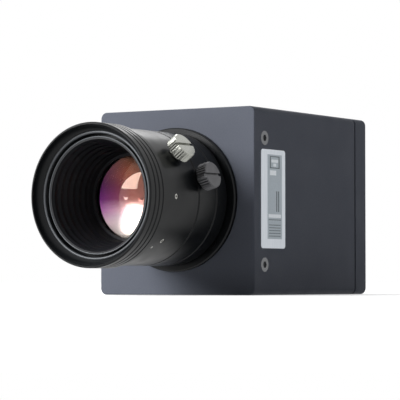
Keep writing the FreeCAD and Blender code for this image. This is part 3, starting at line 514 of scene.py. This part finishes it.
# Both beads are pale grey, a painted highlight on the two edges.
bead("hood_land_edge", LAND_R, LAND_FRONT, 0.85 * MM, "front_cell")
bead("cell_lip_edge", LAND_R - LIP_IN, cell_front - LIP_SINK, 0.45 * MM, "front_cell")
print("bead radii in mm:", round(LAND_R / MM, 2), round((LAND_R - LIP_IN) / MM, 2))

# %% [markdown]
# ## Screw threads
# The solids stand in for every thread with a plain cylinder. The threads that show are the one
# for filters inside the hood, and those on the two rear sockets. A thread is a ridge that climbs
# by its pitch in each turn. A stack of plain rings would look alike from far off, but a close
# view shows that they don't climb. So the surface is a grid whose radius follows a saw-tooth, and
# the angle shifts the tooth along.

# %% Threads
THREAD_STEPS, ROWS_PER_PITCH, THREAD_SINK = 72, 8, 0.03 * MM


def thread(name, centre, start, length, wall, height, pitch, material, body):
    """A thread on a wall about an axis along Y. A negative height stands inwards from the wall."""
    rows = round(length / pitch * ROWS_PER_PITCH)
    sink = -math.copysign(THREAD_SINK, height)
    points, faces = [], []
    for i in range(THREAD_STEPS):
        turn = 2 * math.pi * i / THREAD_STEPS
        for j in range(rows + 1):
            along = length * j / rows
            phase = (along / pitch - i / THREAD_STEPS) % 1.0
            tooth = 1 - abs(2 * phase - 1)
            ends = min(1.0, 2 * along / pitch, 2 * (length - along) / pitch)
            r = wall + sink + (height - sink) * tooth * ends
            points.append((centre[0] + r * math.cos(turn), start + along, centre[1] + r * math.sin(turn)))
    row = rows + 1
    for i in range(THREAD_STEPS):
        after = (i + 1) % THREAD_STEPS
        for j in range(rows):
            quad = (i * row + j, i * row + j + 1, after * row + j + 1, after * row + j)
            faces.append(quad if height < 0 else quad[::-1])
    return piece(name, points, faces, material, body, smooth=True)


FILTER_WALL = LAND_R - 0.15 * MM
thread("filter_thread", (0.0, AXIS_Z), FRONT_Y - LAND_FRONT + 0.25 * MM, 2.2 * MM, FILTER_WALL,
       -0.28 * MM, 0.75 * MM, black_anodised, "front_cell")
SOCKET_THREAD_R, SOCKET_THREAD_BACK, SOCKET_THREAD_L = 6.0 * MM, 6.0 * MM, 5.7 * MM
for side in ("network", "power"):
    low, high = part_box(side + "_socket_shell")
    middle = ((low[0] + high[0]) / 2, (low[2] + high[2]) / 2)
    thread(side + "_socket_thread", middle, high[1] - SOCKET_THREAD_BACK, SOCKET_THREAD_L,
           SOCKET_THREAD_R, 0.2 * MM, 1.0 * MM, nickel_plate, "camera")
print("filter thread's wall radius in mm:", round(FILTER_WALL / MM, 2))

# %% [markdown]
# ## Printed marks on the rings
# The iris ring carries f-numbers, and the focus ring carries distances in metres. They are printed
# in white, two hundredths of a millimetre proud. The marks could be painted in the ring's
# material, but real lettering has sharp edges at any distance, so they are thin pieces. Text is
# made flat, then wrapped round the ring: its width becomes an angle, its height runs along the
# axis, and its thickness becomes radius.

# %% Marks wrapped round a ring
marking, shader = new_material("white_marking_paint", Roughness=0.6, IOR=1.5, Specular_IOR_Level=0.3)
grain(marking, shader, 0.3, 0.004, "#c9c9c4", "#dcdcd7")
PAINT_T = 0.02 * MM
LINE_STRIPS = 3


def wrapped(name, flat_points, faces, angle, ahead, radius, body):
    """Bend flat (across, up, thickness) points round the lens axis."""
    points = [lens_point(angle + math.degrees(x / radius), radius + z, ahead + y)
              for x, y, z in flat_points]
    return piece(name, points, faces, marking, body)


def mark_line(name, width, length, angle, ahead, radius, body):
    """A short printed line along the axis, made of a few strips so that it follows the ring."""
    points = [(width * (i / LINE_STRIPS - 0.5), y, z)
              for z in (-PAINT_T, PAINT_T) for i in range(LINE_STRIPS + 1) for y in (0.0, length)]
    faces = []
    n = 2 * (LINE_STRIPS + 1)
    for i in range(LINE_STRIPS):
        a, b, c, d = 2 * i, 2 * i + 1, 2 * i + 3, 2 * i + 2
        faces += [(a, b, c, d), (n + a, n + d, n + c, n + b), (a, d, n + d, n + a), (b, n + b, n + c, c)]
    last = 2 * LINE_STRIPS
    faces += [(0, n, n + 1, 1), (last, last + 1, n + last + 1, n + last)]
    return wrapped(name, points, faces, angle, ahead, radius, body)


def mark_text(name, words, height, angle, ahead, radius, body):
    """A number, wrapped round the ring with its middle at the angle."""
    curve = bpy.data.curves.new(name, "FONT")
    curve.body = words
    curve.size = height
    curve.extrude = PAINT_T
    curve.align_x = "CENTER"
    flat = bpy.data.objects.new(name + "_flat", curve)
    mesh = bpy.data.meshes.new_from_object(flat)
    points = [tuple(v.co) for v in mesh.vertices]
    faces = [tuple(p.vertices) for p in mesh.polygons]
    bpy.data.objects.remove(flat)
    bpy.data.meshes.remove(mesh)
    return wrapped(name, points, faces, angle, ahead, radius, body)


print("paint stands proud by", PAINT_T / MM, "mm")

# %% [markdown]
# ## The two scales
# Each ring has an index line on the piece beside it, which doesn't turn with it. At rest that line
# meets the first mark of the scale. The marks follow at smaller angles, so that they come under
# the line as the ring turns. The f-numbers are evenly spaced, as click stops are. The distances
# crowd together towards infinity, whose sign is written \u221e here, as on a real focus scale.

# %% Scales
RING_R = radius_of("focus_ring")
iris_back = ahead_of_face("iris_ring")[0]
focus_front = ahead_of_face("focus_ring")[1]
INDEX_ANGLE, DOT_ANGLE = 200.0, -48.0
NUMBER_H, TICK_W, TICK_L, INDEX_W, DOT_W = 2.1 * MM, 0.22 * MM, 0.7 * MM, 0.3 * MM, 0.7 * MM
FOCUS_NUMBERS_AT = focus_front - 3.2 * MM
F_NUMBERS, F_STEP = ("1.4", "2", "2.8", "4", "5.6", "8", "16"), 10.0
DISTANCES = (("\u221e", 0.0), ("5", 15.0), ("2", 38.0), ("1", 79.0), ("0.7", 117.0))
for i, words in enumerate(F_NUMBERS):
    angle = INDEX_ANGLE - F_STEP * i
    mark_text("iris_mark_%d" % i, words, NUMBER_H, angle, iris_back + 1.5 * MM, RING_R, "iris")
    mark_line("iris_tick_%d" % i, TICK_W, TICK_L, angle, iris_back + 0.45 * MM, RING_R, "iris")
for i, (words, turn) in enumerate(DISTANCES):
    angle = INDEX_ANGLE - turn
    mark_text("focus_mark_%d" % i, words, NUMBER_H, angle, FOCUS_NUMBERS_AT, RING_R, "focus")
    mark_line("focus_tick_%d" % i, TICK_W, TICK_L, angle, focus_front - 1.15 * MM, RING_R, "focus")
mark_line("iris_index", INDEX_W, 1.4 * MM, INDEX_ANGLE, iris_back - 1.95 * MM, radius_of("main_barrel"),
          "camera")
mark_line("focus_index", INDEX_W, 1.3 * MM, INDEX_ANGLE, hood_back + 0.5 * MM, HOOD_R, "front_cell")
mark_line("focus_dot", DOT_W, DOT_W, DOT_ANGLE, FOCUS_NUMBERS_AT, RING_R, "focus")
print("marks on the rings:", len(F_NUMBERS), "and", len(DISTANCES))

# %% [markdown]
# ## Fields printed on the rating label
# A rating label has a bright margin and a greyer printed panel, ruled into fields. The fields
# stay empty here, so that the part can stand for any maker's. Ink on foil could be a picture, but
# thin plates stay crisp. They are ten micrometres apart in height, so each lies on the one below.
# Foil shines through thin ink, so the inks are partly metallic.

# %% Label fields
panel_ink, shader = new_material("grey_label_ink", Metallic=0.35, Roughness=0.45, IOR=1.5)
grain(panel_ink, shader, 0.5, 0.002, "#b0bbc4", "#c4cfd7")
rule_ink, shader = new_material("dark_label_ink", Metallic=0.2, Roughness=0.45, IOR=1.5)
grain(rule_ink, shader, 0.5, 0.002, "#6a747a", "#7a848a")
white_ink, shader = new_material("white_label_ink", Metallic=0.5, Roughness=0.45, IOR=1.5)
grain(white_ink, shader, 0.5, 0.002, "#dde3e8", "#f0f5fa")
label_low, label_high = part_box("rating_label")
LABEL_W, LABEL_H = label_high[1] - label_low[1], label_high[2] - label_low[2]
INK_T = 0.01 * MM


def label_plates(name, plates, height, material):
    """Thin plates on the label. Each is its left, right, bottom and top, as shares of the label."""
    points, faces = [], []
    outer, inner = label_high[0] + height, label_high[0] - INK_T
    for left, right, bottom, top in plates:
        n = len(points)
        y0, y1 = label_low[1] + left * LABEL_W, label_low[1] + right * LABEL_W
        z0, z1 = label_low[2] + bottom * LABEL_H, label_low[2] + top * LABEL_H
        for x in (inner, outer):
            points += [(x, y0, z0), (x, y1, z0), (x, y1, z1), (x, y0, z1)]
        faces += [(n, n + 3, n + 2, n + 1), (n + 4, n + 5, n + 6, n + 7), (n, n + 1, n + 5, n + 4),
                  (n + 1, n + 2, n + 6, n + 5), (n + 2, n + 3, n + 7, n + 6), (n + 3, n, n + 4, n + 7)]
    return piece(name, points, faces, material, "camera")


panel = [(0.26, 0.86, 0.095, 0.95)]
white_fields = [(0.36, 0.62, 0.74, 0.79), (0.3, 0.82, 0.31, 0.345), (0.42, 0.7, 0.87, 0.9),
                (0.5, 0.62, 0.83, 0.86)]
square_frame = [(0.36, 0.76, 0.925, 0.935), (0.36, 0.4, 0.81, 0.925), (0.72, 0.76, 0.81, 0.925),
                (0.36, 0.76, 0.81, 0.82)]
upright_rules = [(0.62, 0.66, 0.37, 0.58), (0.7, 0.74, 0.37, 0.58)]
text_rules = [(0.3, 0.82, 0.285, 0.293)]
text_rules += [(0.32, 0.8, 0.12 + 0.028 * i, 0.128 + 0.028 * i) for i in range(5)]
label_plates("label_panel", panel, INK_T, panel_ink)
label_plates("label_white_fields", white_fields, 2 * INK_T, white_ink)
label_plates("label_rules", square_frame + upright_rules + text_rules, 3 * INK_T, rule_ink)
print("label in mm:", round(LABEL_W / MM, 2), "by", round(LABEL_H / MM, 2))

# %% [markdown]
# ## Camera
# The viewer stands to the right of the lens, about 0.7 m away and just above the table, so the
# body shows its front and one side. A long lens from that distance keeps the box's edges nearly
# parallel, as in a catalogue picture. A wide lens close by would swell the hood.

# %% Camera
LOOK_FROM = Vector((0.372, -0.614, 0.004))
LOOK_AT = Vector((0.0, -0.022, 0.0298))
view_lens = bpy.data.cameras.new("studio_camera")
view_lens.sensor_width = 36.0
view_lens.lens = 200.0
viewer = bpy.data.objects.new("studio_camera", view_lens)
viewer.location = LOOK_FROM
viewer.rotation_euler = (LOOK_AT - LOOK_FROM).to_track_quat("-Z", "Y").to_euler()
bpy.context.scene.collection.objects.link(viewer)
bpy.context.scene.camera = viewer
print("the viewer is", round((LOOK_AT - LOOK_FROM).length, 3), "m away")

# %% [markdown]
# ## Lamps
# A large soft light stands high at the front left. It lights the front face and throws the lens's
# shadow to the lower right. A second one, above and behind, draws a pale streak along the top of
# the barrel. Small lamps would give hard shadows and pinpoint glints, so both are wide panels.

# %% Lamps
LAMP_DISTANCE = 0.8
FRONT_MIDDLE = Vector((0.0, FRONT_Y, AXIS_Z))


def soft_light(name, direction, width, height, watts):
    """A panel light in this direction from the middle of the front face, and turned to it."""
    data = bpy.data.lights.new(name, "AREA")
    data.shape = "RECTANGLE"
    data.size, data.size_y, data.energy = width, height, watts
    lamp = bpy.data.objects.new(name, data)
    lamp.location = FRONT_MIDDLE + LAMP_DISTANCE * Vector(direction)
    lamp.rotation_euler = (FRONT_MIDDLE - lamp.location).to_track_quat("-Z", "Y").to_euler()
    bpy.context.scene.collection.objects.link(lamp)


soft_light("key_softbox", (-0.5, -0.77, 0.41), 0.4, 0.4, 7.8)
soft_light("back_softbox", (-0.45, 0.6, 0.66), 0.5, 0.4, 2.2)

# %% [markdown]
# ## Room
# The room is an even white. If it lit the camera as strongly as it looks, every shadow would fill
# up, so it is white only where it is seen: straight, in a reflection or through glass. For all
# other light it is dim. The Light Path node tells the two apart.

# %% Room
ROOM_LIGHT, ROOM_SEEN = 0.13, 1.0
world = bpy.data.worlds.new("pale_room")
bpy.context.scene.world = world
world.use_nodes = True
world.node_tree.nodes.clear()


def greater(material, first, second):
    return add_node(material, "ShaderNodeMath", {0: first, 1: second}, operation="MAXIMUM").outputs[0]


path = add_node(world, "ShaderNodeLightPath")
seen = greater(world, path.outputs["Is Camera Ray"], path.outputs["Is Glossy Ray"])
seen = greater(world, seen, path.outputs["Is Transmission Ray"])
strength = add_node(world, "ShaderNodeMapRange",
                    {"Value": seen, "To Min": ROOM_LIGHT, "To Max": ROOM_SEEN})
room = add_node(world, "ShaderNodeBackground", {"Color": (1, 1, 1, 1), "Strength": strength.outputs[0]})
add_node(world, "ShaderNodeOutputWorld", {"Surface": room.outputs[0]})
print("room strength when seen:", ROOM_SEEN, " as light:", ROOM_LIGHT)

# %% [markdown]
# ## Table
# The camera stands on a pale table. Lit only by the lamps, the table would turn grey further off
# and draw a horizon. So where the viewer sees it, it also glows a little, and more so further
# away, until it meets the white of the room. Near the camera the glow is weak enough to keep the
# shadow. Metal and glass see it as plain white.

# %% Table
GLOW_NEAR, GLOW_FAR = 0.5, 0.92
NEAR, FAR, TABLE_HALF, TABLE_GAP = 0.3, 1.1, 6.0, 0.05 * MM
table_top, shader = new_material("pale_table", Base_Color=colour("#f2f2f2"), Roughness=0.9)
path = add_node(table_top, "ShaderNodeLightPath")
away = add_node(table_top, "ShaderNodeVectorMath", {0: object_place(table_top)}, operation="LENGTH")
glow_level = add_node(table_top, "ShaderNodeMapRange",
                      {"Value": away.outputs["Value"], "From Min": NEAR, "From Max": FAR,
                       "To Min": GLOW_NEAR, "To Max": GLOW_FAR})
viewer_glow = add_node(table_top, "ShaderNodeMath",
                       {0: path.outputs["Is Camera Ray"], 1: glow_level.outputs[0]},
                       operation="MULTIPLY")
lift = add_node(table_top, "ShaderNodeEmission", {"Strength": viewer_glow.outputs[0]})
lit = add_node(table_top, "ShaderNodeAddShader", {0: shader.outputs[0], 1: lift.outputs[0]})
white = add_node(table_top, "ShaderNodeEmission", {"Strength": 1.0})
mirrored = greater(table_top, path.outputs["Is Glossy Ray"], path.outputs["Is Transmission Ray"])
either = add_node(table_top, "ShaderNodeMixShader", {0: mirrored, 1: lit.outputs[0], 2: white.outputs[0]})
output = next(n for n in table_top.node_tree.nodes if n.type == "OUTPUT_MATERIAL")
link(table_top, either.outputs[0], output.inputs["Surface"])

h = TABLE_HALF
table_mesh = bpy.data.meshes.new("table")
table_mesh.from_pydata([(-h, -h, 0), (h, -h, 0), (h, h, 0), (-h, h, 0)], [], [(0, 1, 2, 3)])
table_mesh.materials.append(table_top)
table = bpy.data.objects.new("table", table_mesh)
table.location.z = cad_box[0][2] - TABLE_GAP
bpy.context.scene.collection.objects.link(table)
bpy.context.scene.view_settings.view_transform = "Standard"
print("table height in mm:", round(table.location.z / MM, 3))
